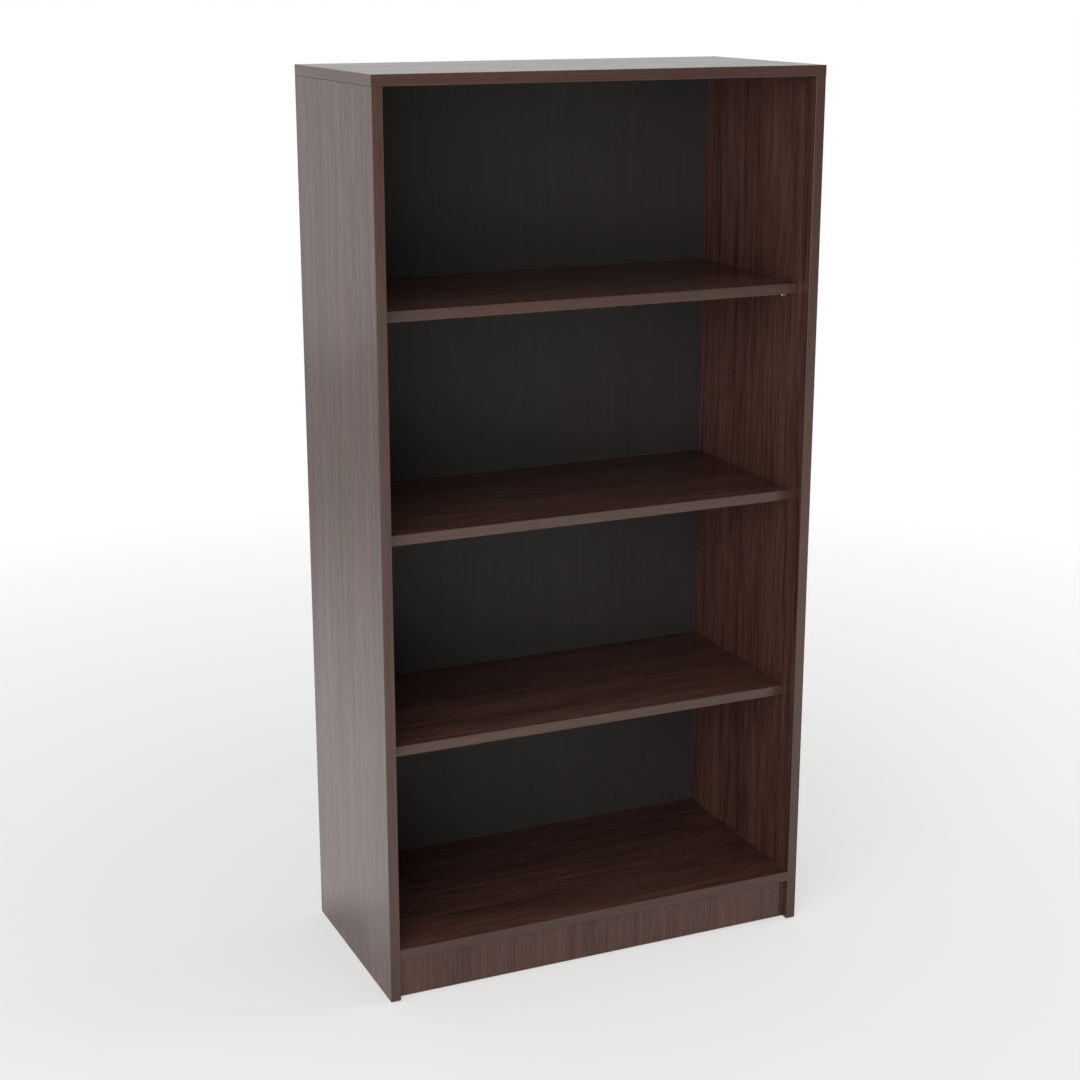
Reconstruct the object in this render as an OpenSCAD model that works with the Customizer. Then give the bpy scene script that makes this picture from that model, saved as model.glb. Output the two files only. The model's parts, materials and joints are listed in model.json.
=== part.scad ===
// Shelving unit: an open case of dark laminated boards on a plinth, with a fixed bottom
// shelf, a fixed middle shelf, two loose shelves on pins and a thin back panel.
// Sizes are in millimetres. X points right, Y points to the back, Z points up.
// The origin is on the floor, under the middle of the case.

/* [Case] */
// Width over the two sides
case_w = 836; // [700:1:1000]
// Depth from the front edges to the rear edges
case_d = 400; // [340:1:500]
// Height from the floor to the top face
case_h = 1624; // [1520:1:1800]
// Thickness of every board except the back panel
board_t = 19; // [18:0.5:22]

/* [Plinth] */
// Height of the underside of the bottom shelf above the floor
plinth_h = 82; // [75:1:110]
// Distance of the plinth board behind the front edges of the case
plinth_setback = 15; // [5:1:40]
// Distance from the middle dowel on top of the plinth to the outer two
plinth_dowel_step = 250; // [150:1:280]

/* [Shelves] */
// Clear height of each of the three upper compartments
clear_h = 365; // [300:1:390]
// Distance of the three shelves behind the front edges of the case
shelf_setback = 40; // [15:1:60]
// Play at each end of a loose shelf
shelf_play = 1; // [0.5:0.1:1.5]
// Gap between a loose shelf and the back panel
shelf_rear_gap = 2; // [1:0.5:5]

/* [Edge bands] */
// Thickness of the plastic band on a board's edge
band_t = 2; // [1:0.1:3]
// Rounding of the two outer arrises of a band
band_r = 1.2; // [0.5:0.1:2]

/* [Back panel] */
// Thickness of the back panel
back_t = 3; // [2.5:0.1:5]
// Distance of the back panel in from the rear edges of the case
back_recess = 2; // [1.9:0.1:5]
// Width of the rebate that the back panel lies in
rebate_w = 10; // [8:0.5:12]
// Play of the back panel at each edge in its rebate
back_play = 1; // [0.5:0.1:1.5]
// Largest distance between two screws of the back panel
screw_pitch = 280; // [150:1:350]
// Diameter of the screw's shank
screw_d = 3; // [2.5:0.1:3.5]
// Length of the screw's shank
screw_l = 16; // [12:1:20]
// Diameter of the screw's head
screw_head_d = 5.6; // [4.5:0.1:6.5]
// Height of the screw's head
screw_head_h = 1.5; // [1:0.1:1.8]

/* [Cam fittings] */
// Distance of the outer fittings from a board's front and rear edge
fitting_inset = 60; // [50:1:90]
// Distance from a cam bolt to the dowel beside it
dowel_offset = 32; // [24:1:50]
// Distance from a board's end to the centre of its cam lock
cam_reach = 34; // [30:1:40]
// Diameter of the bore that the cam lock sits in
cam_d = 15; // [14:0.5:16]
// Depth of the cam lock's face below the board's face
cam_sink = 0.5; // [0.3:0.1:1]
// Thickness of the cam lock behind the bolt's head
cam_floor = 1; // [0.6:0.1:2]
// Diameter of the cap over a cam lock that can be seen
cap_d = 18; // [17:0.5:20]
// Thickness of that cap
cap_t = 1; // [0.8:0.1:1.5]
// Diameter of the cam bolt's head
bolt_head_d = 6.5; // [6:0.1:7]
// Length of the cam bolt's head
bolt_head_l = 3; // [2.5:0.1:3.5]
// Diameter of the cam bolt's neck
bolt_neck_d = 4; // [3.5:0.1:4.5]
// Diameter of the cam bolt's shank
bolt_shank_d = 7; // [6.5:0.1:7.5]
// Diameter of the cam bolt's threaded end
bolt_thread_d = 5; // [4.5:0.1:6]
// Length of the cam bolt's threaded end
bolt_thread_l = 11; // [9:0.5:12]
// Diameter of a wooden dowel's hole
dowel_d = 8; // [6:0.5:8.5]
// Length of a wooden dowel
dowel_l = 30; // [25:1:35]
// Depth to which a dowel enters a board's face
dowel_bite = 10; // [8:0.5:12]
// Height of the plinth's cam locks above the plinth's lower edge
plinth_cam_z = 25; // [20:1:30]
// Radial gap between a fitting and its hole
fit_gap = 0.1; // [0.05:0.05:0.2]

/* [Shelf pins] */
// Distance of the pins from a loose shelf's front and rear edge
pin_inset = 50; // [48:1:80]
// Diameter of a pin's hole
pin_d = 5; // [4.5:0.1:6]
// Depth of a pin's hole
pin_hole_l = 11; // [10:0.5:13]
// Length of a pin in its hole
pin_grip = 9; // [7:0.5:9.5]
// Distance between two pin holes, one above the other
pin_pitch = 32; // [25:1:40]
// Spare pin holes above and below the pins
spare_holes = 2; // [0:1:3]
// Length of the ledge that carries the shelf
ledge_l = 9; // [7:0.5:12]
// Width of the ledge
ledge_w = 12; // [10:0.5:14]
// Thickness of the ledge and of the plate under it
ledge_t = 2; // [1.5:0.1:2.5]
// Height of the plate that lies against the side
plate_h = 13; // [12:0.5:16]

/* [Floor glides] */
// Height of a glide under the side
glide_h = 2; // [1:0.5:4]
// Diameter of a glide
glide_d = 16; // [12:0.5:17]
// Distance of the glides from the front and rear edges
glide_inset = 40; // [25:1:80]
// Diameter of the nail on a glide
glide_nail_d = 2.5; // [2:0.1:3]
// Length of that nail
glide_nail_l = 15; // [12:1:20]

/* [Hidden] */
$fn = 32;

laminate_color = [0.33, 0.26, 0.24];
band_color = [0.36, 0.29, 0.27];
back_color = [0.2, 0.18, 0.17];
zinc_color = [0.7, 0.7, 0.68];
steel_color = [0.62, 0.63, 0.65];
dowel_color = [0.82, 0.68, 0.48];
cap_color = [0.24, 0.18, 0.16];
glide_color = [0.12, 0.12, 0.12];

// Planes of the case
half_w = case_w / 2;
inner_half = half_w - board_t;
front_y = -case_d / 2;
rear_y = case_d / 2;
back_front_y = rear_y - back_recess - back_t;
side_top = case_h - board_t;
bottom_top = plinth_h + board_t;
plinth_y = front_y + plinth_setback;
shelf_front_y = front_y + shelf_setback;
loose_rear_y = back_front_y - shelf_rear_gap;

// Undersides of the three shelves, counted from the top
function shelf_z(n) = side_top - n * (clear_h + board_t);
upper_z = shelf_z(1);
middle_z = shelf_z(2);
lower_z = shelf_z(3);

// Gaps round the fittings
shank_gap = 0.5;
bolt_gap = 0.5;
head_gap = 0.3;
peg_gap = 0.15;
dowel_room = 1;
dowel_end_gap = 0.5;

// Cross recesses of the cam locks and of the screws
driver_w = 1.4;
driver_l = 7;
driver_depth = 2.5;
screw_driver_w = 0.8;
screw_driver_l = 3.2;
screw_driver_depth = 0.8;

// Fittings
cam_h = board_t / 2 + bolt_head_d / 2 + cam_floor - cam_sink;
shank_start = cam_reach - cam_d / 2 - shank_gap;
bolt_hole_d = bolt_shank_d + 2 * bolt_gap;
plinth_dowel_z = plinth_cam_z + dowel_offset;
pin_drop = plate_h / 2;

// How far a cut runs past a free face
cut = 1;

function cam_ys(front, rear) = [front + fitting_inset, rear - fitting_inset];
function dowel_ys(front, rear) = [
    front + fitting_inset + dowel_offset, rear - fitting_inset - dowel_offset
];
function spread(low, high) =
    let (gaps = max(1, ceil((high - low) / screw_pitch)))
    [for (i = [0:gaps]) low + (high - low) * i / gaps];

// Everything here is drawn at the left, and this copies it to the right.
module both_sides() {
    children();
    mirror([1, 0, 0]) children();
}

module box(low, high) {
    translate(low) cube(high - low);
}

// Fittings of one corner joint. The joint is the plane z = 0. The bolt is screwed into the
// board above it, and the cam lock sits in the board below, with its face towards -X.
module cam_bolt() {
    translate([0, 0, -cam_reach - bolt_head_l / 2]) cylinder(d = bolt_head_d, h = bolt_head_l);
    translate([0, 0, -cam_reach]) cylinder(d = bolt_neck_d, h = cam_reach);
    translate([0, 0, -shank_start]) cylinder(d = bolt_shank_d, h = shank_start);
    cylinder(d = bolt_thread_d - 2 * fit_gap, h = bolt_thread_l - fit_gap);
}

module bolt_cut() {
    cylinder(d = bolt_thread_d, h = bolt_thread_l);
    translate([0, 0, -cam_reach]) cylinder(d = bolt_hole_d, h = cam_reach);
    translate([-board_t / 2 - cut, 0, -cam_reach]) rotate([0, 90, 0])
        cylinder(d = cam_d, h = cut + cam_sink + cam_h);
}

module driver_cross(width, length, depth) {
    for (turn = [0, 90]) rotate([turn, 0, 0])
        translate([0, -length / 2, -width / 2]) cube([depth, length, width]);
}

module cam_lock() {
    head_room_d = bolt_head_d + 2 * head_gap;
    translate([0, 0, -cam_reach]) difference() {
        translate([-board_t / 2 + cam_sink, 0, 0]) rotate([0, 90, 0])
            cylinder(d = cam_d - 2 * fit_gap, h = cam_h);
        // Room for the bolt's head, and the mouth through which the head went in
        translate([0, 0, -bolt_head_l / 2 - head_gap])
            cylinder(d = head_room_d, h = bolt_head_l + 2 * head_gap);
        rotate([90, 0, 0]) cylinder(d = head_room_d, h = cam_d);
        cylinder(d = bolt_neck_d + 2 * head_gap, h = cam_d);
        // Cross for the screwdriver
        translate([-board_t / 2 + cam_sink - cut, 0, 0])
            driver_cross(driver_w, driver_l, cut + driver_depth);
    }
}

module cam_cap() {
    translate([-board_t / 2 - cap_t, 0, -cam_reach]) {
        rotate([0, 90, 0]) cylinder(d = cap_d, h = cap_t);
        driver_cross(driver_w - 2 * peg_gap, driver_l - 2 * peg_gap, cap_t + driver_depth);
    }
}

module dowel() {
    translate([0, 0, dowel_bite - dowel_l]) cylinder(d = dowel_d - 2 * fit_gap, h = dowel_l);
}

module dowel_cut() {
    translate([0, 0, dowel_bite - dowel_l - dowel_room])
        cylinder(d = dowel_d, h = dowel_room + dowel_l + dowel_end_gap);
}

// Places of the joints at the left side
module at_top(ys) {
    for (y = ys) translate([-half_w + board_t / 2, y, side_top]) rotate([0, 0, 180]) children();
}

module at_shelf_end(z, ys) {
    for (y = ys) translate([-inner_half, y, z + board_t / 2]) rotate([0, -90, 0]) children();
}

module at_plinth_end(height) {
    translate([-inner_half, plinth_y + board_t / 2, glide_h + height])
        rotate([90, 0, 0]) rotate([0, -90, 0]) children();
}

module at_plinth_top() {
    for (step = [-1, 0, 1])
        translate([step * plinth_dowel_step, plinth_y + board_t / 2, plinth_h]) children();
}

// Cuts that the boards on both sides of a joint share
module top_joint_cuts() {
    at_top(cam_ys(front_y, rear_y)) bolt_cut();
    at_top(dowel_ys(front_y, rear_y)) dowel_cut();
}

module shelf_joint_cuts(z, front) {
    at_shelf_end(z, cam_ys(front, back_front_y)) bolt_cut();
    at_shelf_end(z, dowel_ys(front, back_front_y)) dowel_cut();
}

module plinth_joint_cuts() {
    at_plinth_end(plinth_cam_z) bolt_cut();
    at_plinth_end(plinth_dowel_z) dowel_cut();
}

// Shelf pins
module at_pins(z) {
    for (y = [shelf_front_y + pin_inset, loose_rear_y - pin_inset])
        translate([-inner_half, y, z]) children();
}

module pin_holes(z) {
    for (k = [-spare_holes:spare_holes])
        at_pins(z - pin_drop + k * pin_pitch)
            translate([-pin_hole_l, 0, 0]) rotate([0, 90, 0]) cylinder(d = pin_d, h = pin_hole_l + cut);
}

module shelf_pin() {
    translate([-pin_grip, 0, -pin_drop]) rotate([0, 90, 0])
        cylinder(d = pin_d - 2 * fit_gap, h = pin_grip + ledge_t / 2);
    translate([0, -ledge_w / 2, -ledge_t]) cube([ledge_l, ledge_w, ledge_t]);
    translate([0, -ledge_w / 2, -plate_h]) cube([ledge_t, ledge_w, plate_h]);
    // Web between the plate and the ledge
    rotate([90, 0, 0]) linear_extrude(ledge_t, center = true)
        polygon([[0, 0], [ledge_l, -ledge_t / 2], [ledge_t / 2, -plate_h], [0, -plate_h]]);
}

// Floor glides
module at_glides() {
    for (y = [front_y + glide_inset, rear_y - glide_inset])
        translate([-half_w + board_t / 2, y, 0]) children();
}

module glide() {
    cylinder(d = glide_d, h = glide_h);
    cylinder(d = glide_nail_d, h = glide_h + glide_nail_l);
}

module glide_cut() {
    cylinder(d = glide_nail_d + 2 * fit_gap, h = glide_h + glide_nail_l + fit_gap);
}

// Screws of the back panel, in its two upright edges and across the top, the middle shelf
// and the bottom shelf
module at_back_screws() {
    upright_x = inner_half + rebate_w / 2;
    for (x = [-upright_x, upright_x], z = spread(bottom_top + fitting_inset, side_top - fitting_inset))
        translate([x, back_front_y + back_t, z]) children();
    for (z = [side_top + rebate_w / 2, middle_z + board_t / 2, plinth_h + board_t / 2])
        for (x = spread(fitting_inset - inner_half, inner_half - fitting_inset))
            translate([x, back_front_y + back_t, z]) children();
}

module back_screw() {
    difference() {
        rotate([-90, 0, 0]) cylinder(d = screw_head_d, h = screw_head_h);
        translate([0, screw_head_h + cut, 0]) rotate([0, 0, -90])
            driver_cross(screw_driver_w, screw_driver_l, cut + screw_driver_depth);
    }
    rotate([90, 0, 0]) cylinder(d = screw_d, h = screw_l);
}

module back_screw_cut() {
    translate([0, cut, 0]) rotate([90, 0, 0])
        cylinder(d = screw_d + 2 * fit_gap, h = screw_l + fit_gap + cut);
}

module rebate_cut() {
    box(
        [-inner_half - rebate_w, back_front_y, -cut],
        [inner_half + rebate_w, rear_y + cut, side_top + rebate_w]
    );
}

// Boards
module side() {
    difference() {
        box([-half_w, front_y + band_t, glide_h], [-inner_half, rear_y, side_top]);
        rebate_cut();
        top_joint_cuts();
        shelf_joint_cuts(plinth_h, front_y);
        shelf_joint_cuts(middle_z, shelf_front_y);
        plinth_joint_cuts();
        pin_holes(upper_z);
        pin_holes(lower_z);
        at_glides() glide_cut();
        at_back_screws() back_screw_cut();
    }
}

module loose_shelf(z) {
    reach = inner_half - shelf_play;
    box([-reach, shelf_front_y + band_t, z], [reach, loose_rear_y, z + board_t]);
}

module left_side() {
    color(laminate_color) side();
}

module right_side() {
    color(laminate_color) mirror([1, 0, 0]) side();
}

module top_board() {
    reach = half_w - band_t;
    color(laminate_color) difference() {
        box([-reach, front_y + band_t, side_top], [reach, rear_y, case_h]);
        rebate_cut();
        both_sides() top_joint_cuts();
        at_back_screws() back_screw_cut();
    }
}

module bottom_shelf() {
    color(laminate_color) difference() {
        box([-inner_half, front_y + band_t, plinth_h], [inner_half, back_front_y, bottom_top]);
        both_sides() shelf_joint_cuts(plinth_h, front_y);
        at_plinth_top() dowel_cut();
        at_back_screws() back_screw_cut();
    }
}

module middle_shelf() {
    color(laminate_color) difference() {
        box(
            [-inner_half, shelf_front_y + band_t, middle_z],
            [inner_half, back_front_y, middle_z + board_t]
        );
        both_sides() shelf_joint_cuts(middle_z, shelf_front_y);
        at_back_screws() back_screw_cut();
    }
}

module upper_shelf() {
    color(laminate_color) loose_shelf(upper_z);
}

module lower_shelf() {
    color(laminate_color) loose_shelf(lower_z);
}

module plinth_board() {
    color(laminate_color) difference() {
        box([-inner_half, plinth_y, glide_h], [inner_half, plinth_y + board_t, plinth_h]);
        both_sides() plinth_joint_cuts();
        at_plinth_top() dowel_cut();
    }
}

module back_panel() {
    reach = inner_half + rebate_w - back_play;
    color(back_color) difference() {
        box(
            [-reach, back_front_y, plinth_h],
            [reach, back_front_y + back_t, side_top + rebate_w - back_play]
        );
        at_back_screws() back_screw_cut();
    }
}

// Edge bands. The profile has its outer face at y = 0, with both outer arrises rounded.
module band_profile() {
    r = min(band_r, band_t);
    difference() {
        square([board_t, band_t]);
        for (side = [0, 1]) translate([side * board_t, 0]) mirror([side, 0]) difference() {
            translate([-cut, -cut]) square(r + cut);
            translate([r, r]) circle(r);
        }
    }
}

module side_band() {
    color(band_color) translate([-half_w, front_y, glide_h])
        linear_extrude(side_top - glide_h) band_profile();
}

// Band along the front edge of a level board
module front_band(reach, y, z) {
    color(band_color) translate([reach, y, z]) rotate([0, -90, 0])
        linear_extrude(2 * reach) band_profile();
}

module top_end_band() {
    color(band_color) translate([-half_w, front_y + band_t, side_top]) rotate([0, -90, -90])
        linear_extrude(case_d - band_t) band_profile();
}

module left_side_edge_band() { side_band(); }
module right_side_edge_band() { mirror([1, 0, 0]) side_band(); }
module top_front_edge_band() { front_band(half_w, front_y, side_top); }
module top_left_edge_band() { top_end_band(); }
module top_right_edge_band() { mirror([1, 0, 0]) top_end_band(); }
module bottom_shelf_edge_band() { front_band(inner_half, front_y, plinth_h); }
module lower_shelf_edge_band() { front_band(inner_half - shelf_play, shelf_front_y, lower_z); }
module middle_shelf_edge_band() { front_band(inner_half, shelf_front_y, middle_z); }
module upper_shelf_edge_band() { front_band(inner_half - shelf_play, shelf_front_y, upper_z); }

// Fittings of the top
module top_cam_locks() {
    color(zinc_color) both_sides() at_top(cam_ys(front_y, rear_y)) cam_lock();
}

module top_cam_bolts() {
    color(steel_color) both_sides() at_top(cam_ys(front_y, rear_y)) cam_bolt();
}

module top_dowels() {
    color(dowel_color) both_sides() at_top(dowel_ys(front_y, rear_y)) dowel();
}

module top_cam_caps() {
    color(cap_color) both_sides() at_top(cam_ys(front_y, rear_y)) cam_cap();
}

// Fittings of the bottom shelf
module bottom_cam_locks() {
    color(zinc_color) both_sides()
        at_shelf_end(plinth_h, cam_ys(front_y, back_front_y)) cam_lock();
}

module bottom_cam_bolts() {
    color(steel_color) both_sides()
        at_shelf_end(plinth_h, cam_ys(front_y, back_front_y)) cam_bolt();
}

module bottom_dowels() {
    color(dowel_color) both_sides()
        at_shelf_end(plinth_h, dowel_ys(front_y, back_front_y)) dowel();
}

// Fittings of the middle shelf
module middle_cam_locks() {
    color(zinc_color) both_sides()
        at_shelf_end(middle_z, cam_ys(shelf_front_y, back_front_y)) cam_lock();
}

module middle_cam_bolts() {
    color(steel_color) both_sides()
        at_shelf_end(middle_z, cam_ys(shelf_front_y, back_front_y)) cam_bolt();
}

module middle_dowels() {
    color(dowel_color) both_sides()
        at_shelf_end(middle_z, dowel_ys(shelf_front_y, back_front_y)) dowel();
}

module middle_cam_caps() {
    color(cap_color) both_sides()
        at_shelf_end(middle_z, cam_ys(shelf_front_y, back_front_y)) cam_cap();
}

// Fittings of the plinth
module plinth_cam_locks() {
    color(zinc_color) both_sides() at_plinth_end(plinth_cam_z) cam_lock();
}

module plinth_cam_bolts() {
    color(steel_color) both_sides() at_plinth_end(plinth_cam_z) cam_bolt();
}

module plinth_end_dowels() {
    color(dowel_color) both_sides() at_plinth_end(plinth_dowel_z) dowel();
}

module plinth_top_dowels() {
    color(dowel_color) at_plinth_top() dowel();
}

// Pins, screws and glides
module lower_shelf_pins() {
    color(steel_color) both_sides() at_pins(lower_z) shelf_pin();
}

module upper_shelf_pins() {
    color(steel_color) both_sides() at_pins(upper_z) shelf_pin();
}

module back_panel_screws() {
    color(steel_color) at_back_screws() back_screw();
}

module floor_glides() {
    color(glide_color) both_sides() at_glides() glide();
}

left_side();
right_side();
top_board();
bottom_shelf();
lower_shelf();
middle_shelf();
upper_shelf();
plinth_board();
back_panel();
left_side_edge_band();
right_side_edge_band();
top_front_edge_band();
top_left_edge_band();
top_right_edge_band();
bottom_shelf_edge_band();
lower_shelf_edge_band();
middle_shelf_edge_band();
upper_shelf_edge_band();
top_cam_locks();
top_cam_bolts();
top_dowels();
top_cam_caps();
bottom_cam_locks();
bottom_cam_bolts();
bottom_dowels();
middle_cam_locks();
middle_cam_bolts();
middle_dowels();
middle_cam_caps();
plinth_cam_locks();
plinth_cam_bolts();
plinth_end_dowels();
plinth_top_dowels();
lower_shelf_pins();
upper_shelf_pins();
back_panel_screws();
floor_glides();
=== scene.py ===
"""Shelving unit: finishes the CAD model, models its trim and small fittings, and sets the stage."""
import json
import math

import bmesh
import bpy
from bpy.props import (
    FloatProperty,
    FloatVectorProperty,
    PointerProperty,
)
from mathutils import Matrix, Vector
from mathutils.kdtree import KDTree

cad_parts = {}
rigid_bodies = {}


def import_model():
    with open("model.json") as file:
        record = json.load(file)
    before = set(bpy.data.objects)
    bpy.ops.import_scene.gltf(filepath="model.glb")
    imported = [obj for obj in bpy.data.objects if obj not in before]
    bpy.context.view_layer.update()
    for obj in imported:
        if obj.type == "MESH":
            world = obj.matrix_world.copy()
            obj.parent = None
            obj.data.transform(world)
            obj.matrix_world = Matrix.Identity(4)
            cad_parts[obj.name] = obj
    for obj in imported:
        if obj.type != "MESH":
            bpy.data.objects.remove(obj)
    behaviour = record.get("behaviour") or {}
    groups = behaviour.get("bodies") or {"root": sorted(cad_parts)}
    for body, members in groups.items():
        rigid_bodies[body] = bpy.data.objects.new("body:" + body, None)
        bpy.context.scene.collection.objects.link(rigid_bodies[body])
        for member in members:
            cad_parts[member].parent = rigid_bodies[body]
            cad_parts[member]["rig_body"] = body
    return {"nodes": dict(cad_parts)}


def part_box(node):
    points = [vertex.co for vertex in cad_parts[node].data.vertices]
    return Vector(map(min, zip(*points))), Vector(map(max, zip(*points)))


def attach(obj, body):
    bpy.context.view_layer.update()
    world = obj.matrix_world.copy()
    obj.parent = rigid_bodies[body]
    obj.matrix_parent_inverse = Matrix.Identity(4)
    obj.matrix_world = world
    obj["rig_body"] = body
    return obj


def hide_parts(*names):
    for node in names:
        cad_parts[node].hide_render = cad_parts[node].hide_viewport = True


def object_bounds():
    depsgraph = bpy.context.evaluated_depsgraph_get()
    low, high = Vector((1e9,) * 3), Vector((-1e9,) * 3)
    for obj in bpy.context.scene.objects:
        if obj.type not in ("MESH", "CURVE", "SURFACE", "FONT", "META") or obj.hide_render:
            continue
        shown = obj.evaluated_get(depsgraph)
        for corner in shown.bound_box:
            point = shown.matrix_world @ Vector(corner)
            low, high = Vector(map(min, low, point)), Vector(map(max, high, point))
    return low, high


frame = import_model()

bl_info = {
    "name": "Shelving unit",
    "version": (1, 0, 0),
    "blender": (4, 5, 0),
    "location": "3D View > Sidebar > Shelving",
    "description": "Finishes, trim, small fittings and stage of a shelving unit",
    "category": "Object",
}

CAD_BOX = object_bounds()
MM = 0.001

X = Vector((1, 0, 0))
Y = Vector((0, 1, 0))
Z = Vector((0, 0, 1))
WHITE = (1.0, 1.0, 1.0, 1.0)

# CAD nodes of the boards, apart from the plinth board and the back panel
SIDES = ("left_side", "right_side")
LEVEL_BOARDS = ("top_board", "bottom_shelf", "middle_shelf", "lower_shelf", "upper_shelf")

# How near to a plane a point counts as in it
TOUCH = 0.02 * MM

# The least cosine at which an edge runs along an axis, and at which a face looks along it
ALONG = 0.99
FACING = 0.9


def srgb(red, green, blue):
    """A colour written in steps of 0 to 255, as Blender's linear values."""
    def linear(step):
        part = step / 255
        return part / 12.92 if part <= 0.04045 else ((part + 0.055) / 1.055) ** 2.4
    return linear(red), linear(green), linear(blue)


def colour(name, description, default):
    """A setting for a colour."""
    return FloatVectorProperty(
        name=name, description=description, default=default,
        subtype="COLOR", size=3, min=0.0, max=1.0,
    )


def length(name, description, default):
    """A setting for a length."""
    return FloatProperty(
        name=name, description=description, default=default,
        unit="LENGTH", subtype="DISTANCE", min=0.0, precision=4,
    )


def angle(name, description, degrees):
    """A setting for an angle."""
    return FloatProperty(
        name=name, description=description, default=math.radians(degrees),
        unit="ROTATION", subtype="ANGLE",
    )


def factor(name, description, default):
    """A setting for a share from 0 to 1."""
    return FloatProperty(
        name=name, description=description, default=default,
        subtype="FACTOR", min=0.0, max=1.0,
    )


def power(name, description, default):
    """A setting for a lamp's power."""
    return FloatProperty(
        name=name, description=description, default=default,
        unit="POWER", subtype="POWER", min=0.0,
    )


class ShelvingFinish(bpy.types.PropertyGroup):
    """Colours and gloss of the boards and fittings"""
    laminate_light: colour("Laminate, light grain", "Lighter streaks of the laminate", srgb(99, 67, 58))
    laminate_dark: colour("Laminate, dark grain", "Darker streaks of the laminate", srgb(52, 31, 24))
    laminate_gloss: factor("Laminate roughness", "Roughness of the laminated faces", 0.22)
    band_light: colour("Edge band, light grain", "Lighter streaks of the edge bands", srgb(88, 62, 54))
    band_dark: colour("Edge band, dark grain", "Darker streaks of the edge bands", srgb(57, 38, 31))
    band_gloss: factor("Edge band roughness", "Roughness of the edge bands", 0.24)
    back_light: colour("Back panel, light", "Lighter streaks of the back panel's face", srgb(61, 58, 56))
    back_dark: colour("Back panel, dark", "Darker streaks of the back panel's face", srgb(47, 44, 42))
    back_raw: colour("Back panel, rear", "Raw hardboard at the back", srgb(124, 92, 66))
    cap: colour("Caps", "Plastic caps over the cam locks", srgb(72, 51, 45))
    zinc: colour("Cam locks", "Cast zinc", srgb(176, 176, 172))
    steel: colour("Bolts and screws", "Plated steel", srgb(172, 174, 178))
    nickel: colour("Shelf pins", "Nickel plated steel", srgb(196, 190, 180))
    dowel: colour("Dowels", "Beech", srgb(206, 168, 122))
    glide: colour("Floor glides", "Dark plastic", srgb(40, 38, 38))


class ShelvingTrim(bpy.types.PropertyGroup):
    """Sizes of the modelled trim and fittings"""
    band_round: length("Band rounding", "Rounding of the long outer arrises of a band", 1.2 * MM)
    band_ease: length("Band ends", "Rounding of a band's ends", 0.4 * MM)
    cap_height: length("Cap height", "Height of a cap above the board", 1.0 * MM)
    cap_rim: length("Cap rim", "Width of the sloping rim of a cap", 1.4 * MM)
    ledge: length("Pin ledge", "Thickness of a pin's ledge and plate", 2.0 * MM)
    pin: length("Pin diameter", "Diameter of the pin in its hole", 4.8 * MM)
    pin_grip: length("Pin grip", "Length of the pin in its hole", 9.0 * MM)
    ledge_round: length("Ledge rounding", "Rounding of the front corners of a pin's ledge", 3.5 * MM)
    plate_round: length("Plate rounding", "Rounding of the lower corners of a pin's plate", 2.1 * MM)
    screw_head: length("Screw head", "Height of a screw's head", 1.5 * MM)
    screw_shank: length("Screw shank", "Diameter of a screw's shank", 2.9 * MM)
    screw_point: length("Screw point", "Length of a screw's point", 3.0 * MM)
    cross_length: length("Cross length", "Length of the cross in a screw's head", 3.2 * MM)
    cross_width: length("Cross width", "Width of the cross in a screw's head", 0.8 * MM)
    glide_round: length("Glide rounding", "Rounding of a glide's lower edge", 0.8 * MM)
    glide_nail: length("Glide nail", "Diameter of the nail on a glide", 2.4 * MM)


class ShelvingStage(bpy.types.PropertyGroup):
    """Camera, lamps and floor"""
    camera_place: FloatVectorProperty(
        name="Camera", description="Place of the camera", default=(-1.491, -3.263, 1.780),
        size=3, unit="LENGTH", subtype="TRANSLATION",
    )
    camera_turn: angle("Camera turn", "Turn of the camera from the depth axis towards the right", 24.01)
    camera_tilt: angle("Camera tilt", "Tilt of the camera below the horizon", 15.82)
    lens: FloatProperty(
        name="Lens", description="Focal length", default=66.9, unit="CAMERA", min=10.0,
    )
    shift: FloatProperty(
        name="Shift", description="Vertical shift of the lens", default=0.0,
    )
    key_power: power("Key lamp", "Power of the large lamp at the front left", 136.0)
    fill_power: power("Fill lamp", "Power of the lamp at the right", 55.0)
    top_power: power("Top lamp", "Power of the lamp overhead", 35.0)
    ambient: FloatProperty(
        name="Ambient light", description="Strength of the even light from all round",
        default=0.4, min=0.0,
    )
    backdrop: factor("Backdrop", "Brightness in reflections of the backdrop behind the object", 0.8)
    room: factor("Room", "Brightness in reflections of the room in front of the object", 0.2)
    ceiling: factor("Ceiling", "Brightness in reflections of the ceiling", 0.2)
    floor: colour("Floor", "Colour of the floor", srgb(240, 239, 238))
    floor_radius: length("Floor radius", "Radius of the round floor", 8.4)
    floor_lift: factor("Floor lift", "Share of white over the floor where the shadow lies", 0.5)
    # In reflections, the floor shows a painted pool of light with this share of white, and the rest of
    # the floor shows the next share
    floor_painted_pool: factor("Lit floor", "Share of white in reflections of the lit part of the floor", 0.95)
    floor_far: factor("Far floor", "Share of white in reflections of the rest of the floor", 0.2)


# Selecting and shaping

def clear_selection():
    """Object mode, with nothing selected."""
    if bpy.context.object and bpy.context.object.mode != "OBJECT":
        bpy.ops.object.mode_set(mode="OBJECT")
    bpy.ops.object.select_all(action="DESELECT")


def select_only(piece):
    """Object mode, with one object selected and active."""
    clear_selection()
    piece.select_set(True)
    bpy.context.view_layer.objects.active = piece


def pick(kind, test):
    """In edit mode, select only the vertices, edges or faces for which the test holds."""
    bpy.ops.mesh.select_mode(type=kind)
    bpy.ops.mesh.select_all(action="DESELECT")
    mesh = bpy.context.object.data
    bm = bmesh.from_edit_mesh(mesh)
    parts = {"VERT": bm.verts, "EDGE": bm.edges, "FACE": bm.faces}[kind]
    for part in parts:
        if test(part):
            part.select_set(True)
    bm.select_flush_mode()
    bmesh.update_edit_mesh(mesh)


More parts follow.
